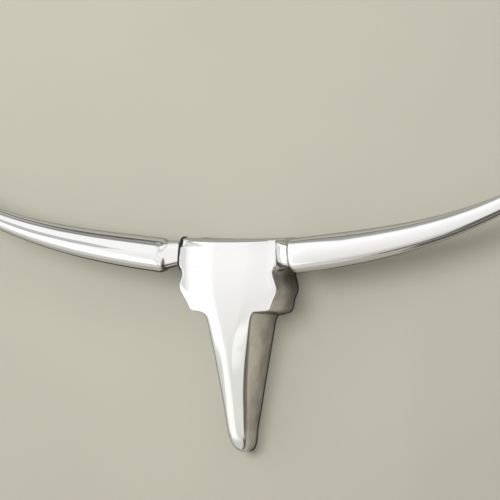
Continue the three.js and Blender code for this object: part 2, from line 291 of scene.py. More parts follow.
def head_skin(inset, wall_steps, edge_steps, inner_steps, side):
    """Rings of (x, out, z, sidewall, painted_shade) for one half, from the back to the middle of the front;
    painted_shade is painted shade along the edge where the side wall meets the front's round.
    """
    outline, outwards = OUTLINES[side]
    base = outline - outwards * inset
    base[0, 0] = base[-1, 0] = 0.0
    x0, z0 = base[:, 0], base[:, 1]
    radius = np.maximum(edge_radius(outline[:, 1], outline[:, 0], side) - inset * 0.5, 1.5)
    edge = front_height(x0, z0, side) - inset
    start = edge - radius
    spread_x, spread_z = wall_spread(outline, outwards)
    columns = []
    for share in np.linspace(0, 1, wall_steps):
        out = start * share
        painted_shade = np.exp(-(((start - out) / 1.5) ** 2))
        columns.append((x0 + spread_x * (1 - share), out, z0 + spread_z * (1 - share), 1.0, painted_shade))
    for share in np.linspace(0, 1, edge_steps + 1)[1:]:
        turn = share * math.pi / 2
        inward = radius * (1 - math.cos(turn))
        x = x0 - outwards[:, 0] * inward
        z = z0 - outwards[:, 1] * inward
        out = front_height(x, z, side) - inset - radius * (1 - math.sin(turn))
        wall = float(smoothstep(0.55, 0.0, share))
        columns.append((x, out, z, wall, np.full(len(x), float(smoothstep(0.6, 0.35, share)))))
    x1, z1 = columns[-1][0], columns[-1][2]
    middle = middle_heights(outline, z1)
    for share in np.linspace(0, 1, inner_steps + 1)[1:]:
        x = x1 * (1 - share)
        z = z1 * (1 - share) + middle * share
        columns.append((x, front_height(x, z, side) - inset, z, 0.0, np.zeros(len(x))))
    rings = []
    for number, (x, out, z, wall, painted_shade) in enumerate(columns):
        z = z - brow_dip(x, z)
        if inset == 0:
            x, out, z = on_pad(x, out, z, number < wall_steps, side)
            z = z + (top_boss(x, out, z) if side < 0 else 0.0)
        x = np.maximum(x, 0.0)
        x[0] = x[-1] = 0.0
        rings.append(np.column_stack([x * side, out, z, np.full(len(x), wall), painted_shade]))
    rings[-1][:, 0] = 0.0
    return rings


def middle_heights(outline, edge_heights):
    """Where on the middle line each point of the outline is joined to, from the top down."""
    along = distances(outline)
    jaw = along[np.argmin(np.hypot(outline[:, 0] - 80, outline[:, 1] + 110.5))]
    brow = along[np.argmin(np.hypot(outline[:, 0] - 95, outline[:, 1] - 18))]
    inner = along[np.argmin(np.hypot(outline[:, 0] - 47.5, outline[:, 1] + 119))]
    tip = along[np.argmin(np.abs(outline[:, 1] + 350))]
    top = edge_heights[0]
    bottom = edge_heights[-1]
    keys = [0, brow, jaw, inner, tip, along[-1]]
    heights = [top - 2, top - 16, -84, -116, bottom + 9, bottom + 1.5]
    return np.interp(along, keys, heights)


def whole_head(inset, wall_steps, edge_steps, inner_steps):
    """Closed rings right round the head from its two halves."""
    right = head_skin(inset, wall_steps, edge_steps, inner_steps, 1)
    left = head_skin(inset, wall_steps, edge_steps, inner_steps, -1)
    return [np.vstack([r, l[-2:0:-1]]) for r, l in zip(right, left)]


def loft(rings, closed=True, start=0):
    """Quads between rings of the same number of points."""
    faces = []
    count = len(rings[0])
    spans = count if closed else count - 1
    for i in range(len(rings) - 1):
        a = start + i * count
        b = a + count
        for j in range(spans):
            k = (j + 1) % count
            faces.append((a + j, a + k, b + k, b + j))
    return faces


outer = whole_head(0.0, 18, 10, 46)
inner = whole_head(WALL, 12, 5, 26)
rim = [outer[0] * (1 - t) + inner[0] * t for t in (0.12, 0.5, 0.88)]
sequence = outer[::-1] + rim + inner
every = np.concatenate(sequence)
points = every[:, :3] * (1, -1, 1)
faces = loft(sequence)
per_ring = len(outer[0])
pick = [0 if i < len(outer) * per_ring else 1 for i in range(len(faces))]
sidewall = every[:, 3]
# Painted shade: a dark band along the muzzle's edge, where its side meets the front.
painted_shade = every[:, 4] * smoothstep(-112, -122, every[:, 2])

# A painted dark reflection makes a faint wedge at the left end of the brow.
across, up = -every[:, 0], every[:, 2]
top = 7.0 + 0.2 * (across - 38.0)
wedge = smoothstep(38, 60, across) * smoothstep(90, 86, across)
wedge = wedge * smoothstep(5, 7.5, up) * smoothstep(top + 1.5, top - 1.5, up)
painted_shade = painted_shade + 0.7 * wedge * (sidewall == 0)

# Inside, a round seat for each bolt and a lug for each strap screw are cast on. Seats are measured
# along the joint's line, and lugs out from the wall.
BOLT_HOLE = 6.4
SEAT = -15.0
SEAT_ROOT = -2.5
SEAT_RADIUS = 18.0
LUG_CENTRE = 82.0
LUG_MIDDLE = 85.0
LUG_HALF_LENGTH = 12.0
LUG_HALF_HEIGHT = 15.0
LUG_CORNER = 2.5
LUG_HOLE = 3.3
LUG_OUTER_FACE = -3.3
LUG_INNER_FACE = -18.3
CAST_EDGE = 0.6


def turned(profile, sides, side, shape=None):
    """Rings of points about the joint's line from (distance along it, radius) pairs."""
    rings = []
    angles = np.linspace(0, 2 * math.pi, sides, endpoint=False)
    for along, radius in profile:
        reach = shape(angles, radius, along) if shape else np.full(sides, float(radius))
        ring = (
            JOINT_START
            + JOINT_AXIS * along
            + np.outer(reach * np.cos(angles), JOINT_ACROSS)
            + np.outer(reach * np.sin(angles), JOINT_UP)
        )
        ring[:, 0] *= side
        rings.append(ring)
    return rings


def looped(rings):
    """Quads right round a loop of rings, of which the last meets the first."""
    size = len(rings) * len(rings[0])
    return [tuple(i % size for i in face) for face in loft(rings + rings[:1])]


def arc(x, z, radius, first, last, steps):
    """Points about (x, z) from one angle in degrees to another."""
    a = np.radians(np.linspace(first, last, steps))
    return np.column_stack([x + radius * np.cos(a), z + radius * np.sin(a)])


def rectangle_loop(centre, half_length, half_height, corner):
    across = half_length - corner
    up = half_height - corner
    corners = ((1, 1, 0), (-1, 1, 90), (-1, -1, 180), (1, -1, 270))
    return np.vstack([
        arc(centre + x * across, z * up, corner, start, start + 90, 7) for x, z, start in corners
    ])


def circle_loop(x, radius, steps=40):
    a = np.linspace(0, 2 * math.pi, steps, endpoint=False)
    return np.column_stack([x + radius * np.cos(a), radius * np.sin(a)])


def plate(edges, depths, layers):
    """Each edge as loops at the depths, and at these layers a flat face between the edges."""
    points = []
    faces = []
    starts = []
    for loops in edges:
        starts.append(len(points))
        faces += loft(loops, start=len(points))
        for loop, depth in zip(loops, depths):
            points += [(x, depth, z) for x, z in loop]
    for layer in layers:
        flat = [[Vector((x, z, 0)) for x, z in loops[layer]] for loops in edges]
        numbers = []
        for start, loops in zip(starts, edges):
            numbers += [start + layer * len(loops[0]) + i for i in range(len(loops[0]))]
        for triangle in tessellate_polygon(flat):
            faces.append(tuple(numbers[i] for i in triangle))
    return points, faces


for side in (-1, 1):
    seat = turned([
        (SEAT, BOLT_HOLE), (SEAT, SEAT_RADIUS - CAST_EDGE), (SEAT + CAST_EDGE, SEAT_RADIUS),
        (SEAT_ROOT, SEAT_RADIUS), (SEAT_ROOT, BOLT_HOLE),
    ], 48, side)
    lug = [
        rectangle_loop(side * LUG_MIDDLE, LUG_HALF_LENGTH - b, LUG_HALF_HEIGHT - b, LUG_CORNER - b)
        for b in (CAST_EDGE, 0, 0, CAST_EDGE)
    ]
    hole = [circle_loop(side * LUG_CENTRE, LUG_HOLE + b) for b in (0.4, 0, 0, 0)]
    depths = (LUG_OUTER_FACE, LUG_OUTER_FACE - CAST_EDGE, LUG_INNER_FACE + CAST_EDGE, LUG_INNER_FACE)
    lug_points, lug_faces = plate([lug, hole], depths, (0, 3))
    for more, new_faces in ((np.concatenate(seat), looped(seat)), (lug_points, lug_faces)):
        count = len(points)
        points = np.vstack([points, more])
        faces += [tuple(count + i for i in face) for face in new_faces]
        pick += [1] * len(new_faces)
        sidewall = np.append(sidewall, np.zeros(len(more)))
        painted_shade = np.append(painted_shade, np.zeros(len(more)))


class Value:
    """An output socket of a node, so that shader maths reads as a formula."""

    def __init__(self, graph, socket):
        self.graph = graph
        self.socket = socket

    def __add__(self, other):
        return self.graph.math("ADD", self, other)

    def __radd__(self, other):
        return self.graph.math("ADD", other, self)

    def __sub__(self, other):
        return self.graph.math("SUBTRACT", self, other)

    def __rsub__(self, other):
        return self.graph.math("SUBTRACT", other, self)

    def __mul__(self, other):
        return self.graph.math("MULTIPLY", self, other)

    def __rmul__(self, other):
        return self.graph.math("MULTIPLY", other, self)

    def __truediv__(self, other):
        return self.graph.math("DIVIDE", self, other)

    def __rtruediv__(self, other):
        return self.graph.math("DIVIDE", other, self)

    def limited(self):
        """The value, held between 0 and 1."""
        return self.graph.math("ADD", self, 0.0, clamp=True)

    def rising(self, low, high):
        """0 below low, 1 above high and smooth between, or falling where low is the larger."""
        share = ((self - low) / (high - low)).limited()
        return share * share * (3.0 - share * 2.0)

    def hill(self, centre, width):
        """1 at the centre, falling smoothly to nothing on either side of it."""
        away = (self - centre) / width
        return self.graph.math("EXPONENT", away * away * -1.0)


def fill_ramp(elements, stops):
    """Gives a colour ramp these (place, colour) stops instead of its own two."""
    elements.remove(elements[-1])
    for number, (place, colour) in enumerate(stops):
        element = elements.new(place) if number > 0 else elements[0]
        element.position = place
        element.color = colour


class Graph:
    """A material's or the world's node tree, emptied and ready to be filled."""

    def __init__(self, owner):
        owner.use_nodes = True
        self.tree = owner.node_tree
        self.tree.nodes.clear()

    def node(self, kind, settings=None, numbered=None, **named):
        """A node of any type. Its settings come first, then its sockets by name or by number."""
        made = self.tree.nodes.new(kind)
        for name, value in (settings or {}).items():
            if name == "stops":
                fill_ramp(made.color_ramp.elements, value)
            else:
                setattr(made, name, value)
        sockets = {name.replace("_", " "): item for name, item in named.items()}
        sockets.update(numbered or {})
        for key, item in sockets.items():
            if isinstance(item, Value):
                self.tree.links.new(item.socket, made.inputs[key])
            else:
                made.inputs[key].default_value = item
        return made

    def out(self, node, name):
        return Value(self, node.outputs[name])

    def math(self, operation, *items, clamp=False):
        settings = {"operation": operation, "use_clamp": clamp}
        return self.out(self.node("ShaderNodeMath", settings, dict(enumerate(items))), 0)

    def mixed(self, share, first, second):
        """The first colour with this share of the second blended in."""
        made = self.node("ShaderNodeMix", {"data_type": "RGBA"}, {0: share, 6: first, 7: second})
        return self.out(made, 2)

    def object_place(self):
        return self.out(self.node("ShaderNodeTexCoord"), "Object")

    def mark(self, name):
        """A value that the mesh holds for each of its points."""
        return self.out(self.node("ShaderNodeAttribute", {"attribute_name": name}), "Fac")

    def noise(self, place, scale, detail=2.0):
        made = self.node("ShaderNodeTexNoise", {}, Vector=place, Scale=scale, Detail=detail)
        return self.out(made, "Fac")

    def bumped(self, height, distance, strength=1.0):
        made = self.node("ShaderNodeBump", {}, Height=height, Distance=distance, Strength=strength)
        return self.out(made, "Normal")

    def paint(self, **inputs):
        return self.out(self.node("ShaderNodeBsdfPrincipled", **inputs), 0)

    def output(self, shader):
        self.node("ShaderNodeOutputMaterial", Surface=shader)


def new_graph(name):
    material = bpy.data.materials.new(name)
    return material, Graph(material)


def polished_metal(name, brightness, edge_tint, worn_and_shaded):
    """Buffed by hand to a mirror: a little wavy, with faint smears and here and there an open pit.

    `edge_tint` is how bright the metal stays at a glancing angle. `worn_and_shaded` adds what the head
    alone has: painted shade down the muzzle, and rougher sides that its mesh marks, with a brighter
    base colour for lighter reflections, random blotches and painted shade near the wall and under
    the neck. Where the mesh marks painted_shade, the colour darkens with painted shade and painted
    dark reflections.
    """
    material, g = new_graph(name)
    at = g.object_place()
    smears = g.noise(at, 14.0, 3.0)
    grain = g.noise(at, 900.0, 2.0)
    waves = g.noise(at, 22.0, 1.0)
    pit_map = g.node("ShaderNodeTexVoronoi", {"feature": "F1"}, Vector=at, Scale=55.0)
    pit_colour = g.node("ShaderNodeSeparateColor", {}, Color=g.out(pit_map, "Color"))
    rare = g.out(pit_colour, "Red").rising(0.93, 0.95)
    pits = g.out(pit_map, "Distance").rising(0.045, 0.0) * rare
    relief = waves * 0.5 + grain * 0.004 - pits * 0.5
    colour = (brightness, brightness, brightness * 0.99, 1)
    roughness = 0.07 + smears * 0.06 + pits * 0.3
    painted_shade = g.mark("painted_shade")
    if worn_and_shaded:
        side = g.mark("sidewall")
        apart = g.node("ShaderNodeSeparateXYZ", {}, Vector=at)
        depth = g.out(apart, "Y")
        height = g.out(apart, "Z")
        # Painted shade: the metal's colour darkens down the muzzle.
        muzzle_shade = height.rising(-0.05, -0.24)
        colour = g.mixed(muzzle_shade, colour, (0.68, 0.685, 0.66, 1))
        blotch = g.noise(at, 30.0, 3.0)
        near_wall_shade = depth.rising(-0.085, -0.002)
        under_neck_shade = height.hill(-0.055, 0.026) * 0.6
        tip = height.rising(-0.325, -0.36)
        # The sides get a brighter base colour, which paints their reflections lighter. Then comes painted
        # shade near the wall and under the neck, mixed with random blotches that are the metal's own uneven
        # polish.
        colour = g.mixed(side, colour, (0.93, 0.9, 0.87, 1))
        shade_and_blotches = side * (near_wall_shade * 0.45 + under_neck_shade + (blotch - 0.55) * 0.9 - tip * 0.4).limited()
        colour = g.mixed(shade_and_blotches, colour, (0.16, 0.15, 0.14, 1))
        # Painted shade along the muzzle's edge and a painted dark reflection at the brow, where the mesh
        # marks them.
        colour = g.mixed(painted_shade * (0.65 - tip * 0.6), colour, (0.1, 0.095, 0.09, 1))
        roughness = roughness + side * 0.14
    else:
        # Painted shade in the right neck's groove and a painted dark reflection under the left neck, where
        # the mesh marks them.
        colour = g.mixed(painted_shade * 0.9, colour, (0.13, 0.128, 0.115, 1))
    g.output(g.paint(
        Base_Color=g.mixed(pits, colour, (0.2, 0.2, 0.19, 1)),
        Metallic=1.0,
        Roughness=roughness,
        Specular_Tint=(edge_tint, edge_tint, edge_tint * 0.97, 1),
        Normal=g.bumped(relief, 0.0008),
    ))
    return material


head_metal = polished_metal("polished_aluminium_head", 0.79, 0.62, True)

# Inside, the casting stays dull, grey and grainy, as it came out of the sand.
as_cast, g = new_graph("aluminium_as_cast")
at = g.object_place()
blotches = g.noise(at, 30.0, 3.0)
sand = g.noise(at, 700.0, 3.0)
g.output(g.paint(
    Base_Color=g.mixed(blotches, (0.42, 0.42, 0.41, 1), (0.6, 0.6, 0.585, 1)),
    Metallic=1.0,
    Roughness=0.42 + sand * 0.2,
    Normal=g.bumped(sand, 0.0006, 0.8),
))


def piece_from(name, points, faces, materials, pick=None, crisp=35.0, marks=None, sheet=False):
    """A piece from points in millimetres, smooth except where it turns by more than `crisp`.

    `marks` holds a value for each point under a name that the materials can read. A sheet keeps the
    side that its faces are given with; a closed piece is turned outside out.
    """
    mesh = bpy.data.meshes.new(name)
    mesh.from_pydata((np.asarray(points, float) * MM).tolist(), [], faces)
    for material in materials:
        mesh.materials.append(material)
    if pick is not None:
        mesh.polygons.foreach_set("material_index", pick)
    for mark, values in (marks or {}).items():
        layer = mesh.attributes.new(mark, "FLOAT", "POINT")
        layer.data.foreach_set("value", np.asarray(values, np.float32))
    shape = bmesh.new()
    shape.from_mesh(mesh)
    bmesh.ops.remove_doubles(shape, verts=shape.verts, dist=1e-7)
    if not sheet:
        bmesh.ops.recalc_face_normals(shape, faces=shape.faces)
    shape.to_mesh(mesh)
    shape.free()
    mesh.polygons.foreach_set("use_smooth", [True] * len(mesh.polygons))
    mesh.set_sharp_from_angle(angle=math.radians(crisp))
    mesh.update()
    piece = bpy.data.objects.new(name, mesh)
    bpy.context.scene.collection.objects.link(piece)
    return piece


def finished(piece, node):
    """Puts a piece in the place of its CAD node."""
    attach(piece, "root")
    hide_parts(node)


marks = {"sidewall": sidewall, "painted_shade": painted_shade}
metals = [head_metal, as_cast]
head = piece_from("head_casting", points, faces, metals, pick, crisp=50.0, marks=marks)
finished(head, "head")


# Horns
# Each horn is one solid aluminium casting, polished like the head. It leaves a turned neck with a
# shoulder, curves up mostly in its outer part and thins to a blunt tip.

SIDES = (("right", 1), ("left", -1))
HORN_LENGTH = 740.0
ROOT_RADIUS = 32.6
TIP_RADIUS = 7.0
# In degrees: how the horn rises at its root, how much more at its tip, and how far it leans forward.
ROOT_RISE = 7.0
TIP_RISE = 53.0
HORN_FORWARD = 3.5
HORN_START = np.array([133.0, -89.0, -10.5])
# Along the horn from its start: the middle of the shoulder, and how long the shoulder's round is.
SHOULDER = {"left": 6.0, "right": -6.0}
SHOULDER_LENGTH = 8.0
# Along the joint's line from the pad's face.
NECK_START = 3.6
BOLT_HOLE_DEPTH = 24.0
# How far the right neck laps over the edge of its gasket.
NECK_LIP = 1.3
# Half the height and half the depth of each gasket.
GASKET_SIZE = {"left": (32.0, 30.6), "right": (22.0, 26.4)}

horn_metal = polished_metal("polished_aluminium", 0.78, 0.5, False)


def squarish(angles, upright, outward, power=PAD_POWER):
    """Radii of a rounded square with these half sizes; angle 0 is up."""
    up_part = (np.abs(np.cos(angles)) / upright) ** power
    out_part = (np.abs(np.sin(angles)) / outward) ** power
    return (up_part + out_part) ** (-1 / power)


def horn_heading(along):
    share = np.clip(along / HORN_LENGTH, 0, 1)
    rise = math.radians(ROOT_RISE + TIP_RISE * share**1.85)
    forward = math.radians(HORN_FORWARD)
    return np.array([
        math.cos(rise) * math.cos(forward), -math.cos(rise) * math.sin(forward), math.sin(rise),
    ])


horn_steps = np.arange(-40, HORN_LENGTH + 2, 1.0)
horn_headings = np.array([horn_heading(s + 0.5) for s in horn_steps])
horn_line = np.vstack([[0, 0, 0], np.cumsum(horn_headings, axis=0)])[:-1]
horn_line += HORN_START - horn_line[horn_steps == 0][0]


def horn_place(along):
    return np.array([np.interp(along, horn_steps, horn_line[:, k]) for k in range(3)])


def horn_radius(along):
    share = max(0.0, along) / HORN_LENGTH
    radius = ROOT_RADIUS - (ROOT_RADIUS - TIP_RADIUS) * math.sin(math.pi / 2 * share**0.88) ** 2
    past = max(0.0, along - (HORN_LENGTH - TIP_RADIUS)) / TIP_RADIUS
    return radius * math.sqrt(max(0.0, 1 - past**2))


def left_neck(share):
    """The heights of the left neck's top and underside, which swells just before the shoulder."""
    top = 17.9 + 4.8 * smoothstep(0.75, 1.0, share)
    bottom = -28.0 - 10.5 * share - 3.8 * smoothstep(0.66, 0.9, share)
    return top, bottom


def neck_size(name, share):
    """Half the neck's height and half its depth, from the gasket (0) to the shoulder (1)."""
    bevel = 0.6 * math.exp(-share / 0.02)
    if name == "left":
        top, bottom = left_neck(share)
        return (top - bottom) / 2 - bevel, 29.9 + 2.6 * share - bevel
    groove = 3.4 * smoothstep(0.3, 0.88, share)
    flare = smoothstep(0.86, 1.06, share) * 7.6
    return 24.4 - groove * 0.2 + flare * 0.95 - bevel, 29.0 - groove + flare - bevel


def horn_power(name, share, along, angles):
    """The necks start rounded square like the pads; the right horn stays fuller at the top at first."""
    if name == "left":
        return 2.0 + 2.4 * (1 - smoothstep(0.5, 1.0, share))
    upper = smoothstep(-0.2, 0.5, np.cos(angles))
    fuller = 0.7 * (1 - smoothstep(10, 110, along)) * upper
    return 2.0 + fuller + (1.2 + 0.7 * upper) * (1 - smoothstep(0.82, 1.04, share))


shoulder_shape = {
    "left": smooth_curve([(0, 32.5), (3, 32.6), (8, 32.6)]),
    "right": smooth_curve([(0, 30), (1, 31.2), (2.5, 32.1), (5, 32.5), (8, 32.6)]),
}


def horn_profile(name):
    """(distance along, half height, half depth) from the neck's end to the tip."""
    shoulder = SHOULDER[name]
    first = JOINT_START + JOINT_AXIS * NECK_START
    neck_end = shoulder - np.linalg.norm(horn_place(shoulder) - first)
    pairs = []
    for share in np.linspace(0, 1, 60)[:-1] ** 1.2:
        along = neck_end + (shoulder - neck_end) * share
        pairs.append((along, *(float(size) for size in neck_size(name, share))))
    for past in np.linspace(0, SHOULDER_LENGTH, 15):
        radius = float(shoulder_shape[name](past))
        pairs.append((shoulder + past, radius, radius))
    for along in np.linspace(shoulder + SHOULDER_LENGTH, HORN_LENGTH - TIP_RADIUS, 230)[1:]:
        pairs.append((along, horn_radius(along), horn_radius(along)))
    for turn in np.linspace(0, math.pi / 2, 10)[1:-1]:
        along = HORN_LENGTH - TIP_RADIUS + TIP_RADIUS * math.sin(turn)
        pairs.append((along, horn_radius(along), horn_radius(along)))
    return pairs, neck_end, first


def painted_neck_shade(name, share, angles):
    """Painted shade in the right neck's groove, and a painted dark reflection low on the left neck before
    its shoulder.
    """
    if name == "right":
        groove = np.exp(-(((share - 0.93) / 0.08) ** 2))
        return groove * smoothstep(0.98, 0.7, np.abs(np.cos(angles)))
    low = -np.cos(angles)
    width = 0.04 + 0.08 * np.clip((low - 0.1) / 0.5, 0, 1)
    dent = np.exp(-(((share - 0.7) / width) ** 2))
    dent = dent * smoothstep(0.08, 0.35, low) * smoothstep(0.9, 0.8, low)
    return 1.2 * dent * (np.sin(angles) < 0)


def horn_mesh(name, side, sides=112):
    pairs, neck_end, first = horn_profile(name)
    shoulder = SHOULDER[name]
    shoulder_place = horn_place(shoulder)
    start = pairs[0][0]
    hole = [(start + BOLT_HOLE_DEPTH, BOLT_HOLE, BOLT_HOLE), (start, BOLT_HOLE, BOLT_HOLE)]
    lip = []
    if name == "right":
        upright, outward = GASKET_SIZE[name]
        for along, more in ((start, 0.3), (start - NECK_LIP, 0.4)):
            lip.append((along, upright + more, outward + more))
        pairs = [(start - NECK_LIP, *pairs[0][1:])] + pairs
    angles = np.linspace(0, 2 * math.pi, sides, endpoint=False)
    rings = []
    dark = []
    for number, (along, upright, outward) in enumerate(hole + lip + pairs):
        in_hole = number < len(hole)
        share = (along - neck_end) / (shoulder - neck_end)
        place = first + (shoulder_place - first) * share if along < shoulder else horn_place(along)
        if name == "left" and not in_hole and 0 <= share < 1:
            place = place + (0, 0, sum(left_neck(share)) / 2 - place[2])
        turn = 0.0 if in_hole else float(smoothstep(shoulder - 2, shoulder + SHOULDER_LENGTH, along))
        way = JOINT_AXIS * (1 - turn) + horn_heading(along) * turn
        way /= np.linalg.norm(way)
        across = np.cross(way, [0, 1, 0])
        across /= np.linalg.norm(across)
        up = np.cross(across, way)
        power = horn_power(name, share, along, angles)
        if number < len(hole + lip):
            power = 2.0 if in_hole else PAD_POWER
        reach = squarish(angles, upright, outward, power)
        ring = place + np.outer(reach * np.cos(angles), across) + np.outer(reach * np.sin(angles), up)
        ring[:, 0] *= side
        rings.append(ring)
        dark += (painted_neck_shade(name, share, angles) * (not in_hole)).tolist()
    points = np.vstack([*rings, horn_place(HORN_LENGTH) * (side, 1, 1)])
    faces = loft(rings)
    faces.append(tuple(reversed(range(sides))))
    last = (len(rings) - 1) * sides
    for j in range(sides):
        faces.append((last + j, last + (j + 1) % sides, len(points) - 1))
    if side > 0:
        faces = [tuple(reversed(face)) for face in faces]
    marks = {"painted_shade": dark + [0.0]}
    return piece_from(f"{name}_horn_casting", points, faces, [horn_metal], crisp=50.0, marks=marks)


for name, side in SIDES:
    finished(horn_mesh(name, side), f"{name}_horn")


# Gaskets
# A ring of black sheet rubber between each horn and the head, pressed tight by the horn's bolt. The
# left one stands proud all round; the neck on the right laps over the edge of its own.

GASKET_FACES = (0.3, 3.3)

rubber, g = new_graph("black_rubber")
at = g.object_place()
dust = g.noise(at, 60.0, 3.0)
skin = g.noise(at, 1500.0, 2.0)
g.output(g.paint(
    Base_Color=g.mixed(dust, (0.008, 0.008, 0.008, 1), (0.02, 0.02, 0.019, 1)),
    Roughness=0.55 + dust * 0.15,
    Normal=g.bumped(skin, 0.0001, 0.5),
))


def capped(rings):
    """Quads between rings, with a flat face on the first ring and on the last."""
    sides = len(rings[0])
    last = (len(rings) - 1) * sides
    return loft(rings) + [tuple(reversed(range(sides))), tuple(range(last, last + sides))]


def turned_piece(name, profile, sides, side, material, shape=None, crisp=35.0, solid=False):
    """A turned piece; its profile is a loop, or runs from tip to tip where it is solid."""
    rings = turned(profile, sides, side, shape)
    faces = capped(rings) if solid else looped(rings)
    if side > 0:
        faces = [tuple(reversed(face)) for face in faces]
    return piece_from(name, np.concatenate(rings), faces, [material], crisp=crisp)


def gasket_shape(size):
    def reach(angles, radius, along):
        """The radius is the hole's, or how far the rim is drawn in from the full size."""
        if radius == BOLT_HOLE:
            return np.full(len(angles), radius)
        return squarish(angles, *size) + radius
    return reach


near, far = GASKET_FACES
gasket_profile = [
    (near, BOLT_HOLE), (near, -0.5), (near + 0.2, -0.1), (near + 0.6, 0.0),
    (far - 0.6, 0.0), (far - 0.2, -0.1), (far, -0.5), (far, BOLT_HOLE),
]
for name, side in SIDES:
    rim = gasket_shape(GASKET_SIZE[name])
    gasket = turned_piece(f"{name}_gasket", gasket_profile, 96, side, rubber, rim)
    finished(gasket, f"{name}_horn_gasket")


# Bolts and washers
# A hexagon bolt and a flat washer of zinc-plated steel, both bought in, pull each horn on from
# inside the head. The plating is bright and slightly blue.

SMALL_GAP = 0.3
WASHER_RADIUS = 12.0
WASHER_THICKNESS = 2.5
WASHER_EDGE = 0.3
BOLT_RADIUS = 6.0
BOLT_END = 25.6
BOLT_HEAD_HEIGHT = 8.0
# The head's half width across its flats and across its corners, and the hollow in its top.
BOLT_FLAT = 9.5
BOLT_CORNER = 10.97
BOLT_HOLLOW = 3.0

zinc, g = new_graph("zinc_steel")
at = g.object_place()
cloud = g.noise(at, 90.0, 3.0)
fine = g.noise(at, 2000.0, 2.0)
g.output(g.paint(
    Base_Color=g.mixed(cloud, (0.52, 0.54, 0.56, 1), (0.68, 0.69, 0.7, 1)),
    Metallic=1.0,
    Roughness=0.26 + cloud * 0.18,
    Normal=g.bumped(fine, 0.00008, 0.5),
))


def six_sided(angles):
    """How far out a hexagon reaches at these angles, where the middle of a side is at 1."""
    return 1 / np.cos((angles + math.pi / 6) % (math.pi / 3) - math.pi / 6)


def hexagon(angles, radius, along):
    """The bolt head's hexagon, turned down to the radius: its corners go first, then its flats."""
    return np.minimum(BOLT_FLAT * six_sided(angles), radius)


top = SEAT - SMALL_GAP
bottom = top - WASHER_THICKNESS
washer_profile = [
    (top, BOLT_HOLE), (top, WASHER_RADIUS - WASHER_EDGE), (top - WASHER_EDGE, WASHER_RADIUS),
    (bottom + WASHER_EDGE, WASHER_RADIUS), (bottom, WASHER_RADIUS - WASHER_EDGE), (bottom, BOLT_HOLE),
]
under = bottom - SMALL_GAP
outer_face = under - BOLT_HEAD_HEIGHT
bolt_profile = [
    (outer_face, BOLT_HOLLOW), (outer_face, 9.3), (outer_face + 0.4, 10.2), (outer_face + 1.0, BOLT_CORNER),
    (under - 0.5, BOLT_CORNER), (under, 10.4), (under, BOLT_RADIUS + 0.2), (under + 0.6, BOLT_RADIUS),
    (BOLT_END - 0.6, BOLT_RADIUS), (BOLT_END, BOLT_RADIUS - 0.6),
]
for name, side in SIDES:
    washer = turned_piece(f"{name}_washer", washer_profile, 64, side, zinc)
    finished(washer, f"{name}_horn_washer")
    bolt = turned_piece(f"{name}_bolt", bolt_profile, 96, side, zinc, hexagon, crisp=30.0, solid=True)
    finished(bolt, f"{name}_horn_bolt")


# Strap
# A strip of zinc-plated steel, 3 mm thick, punched with two keyholes that hang on screws in the
# wall, and countersunk for the two screws that hold it to the lugs.

STRAP_HALF_LENGTH = 90.0
STRAP_HALF_HEIGHT = 15.0
STRAP_THICKNESS = 3.0
STRAP_CORNER = 3.0
STRAP_EDGE = 0.35
KEYHOLE_CENTRE = 40.0
KEYHOLE_RADIUS = 6.0
KEYHOLE_HEIGHT = -4.0
SLOT_HALF_WIDTH = 3.0
SLOT_HEIGHT = 5.0
COUNTERSINK_RADIUS = 6.6
SCREW_HOLE = 3.6


def keyhole_loop(x, grow):
    radius = KEYHOLE_RADIUS + grow
    slot = SLOT_HALF_WIDTH + grow
    mouth = math.degrees(math.asin(slot / radius))
    return np.vstack([
        arc(x, KEYHOLE_HEIGHT, radius, 90 + mouth, 450 - mouth, 28),
        arc(x, SLOT_HEIGHT, slot, 0, 180, 14),
    ])


depths = (0.0, -STRAP_EDGE, STRAP_EDGE - STRAP_THICKNESS, -STRAP_THICKNESS)
grown = (STRAP_EDGE, 0, 0, STRAP_EDGE)
countersink = [
    COUNTERSINK_RADIUS - (COUNTERSINK_RADIUS - SCREW_HOLE) * -depth / STRAP_THICKNESS for depth in depths
]
edges = [[
    rectangle_loop(0, STRAP_HALF_LENGTH - b, STRAP_HALF_HEIGHT - b, STRAP_CORNER - b) for b in grown
]]
for side in (-1, 1):
    edges.append([keyhole_loop(side * KEYHOLE_CENTRE, b) for b in grown])
    edges.append([circle_loop(side * LUG_CENTRE, radius) for radius in countersink])
points, faces = plate(edges, depths, (0, 3))
strap = piece_from("strap", points, faces, [zinc], crisp=25.0)
finished(strap, "hanger_strap")


# Strap screws
# Two countersunk machine screws of zinc-plated steel with a hexagon socket, bought in. They go from
# the wall side through the strap into the lugs.

SCREW_RADIUS = 3.0
SCREW_HEAD_RADIUS = 6.0
SCREW_HEAD_FACE = -0.3
SCREW_HEAD_BACK = -3.1
SCREW_END = -15.0
SOCKET_HALF_WIDTH = 2.0
SOCKET_BOTTOM = -2.2


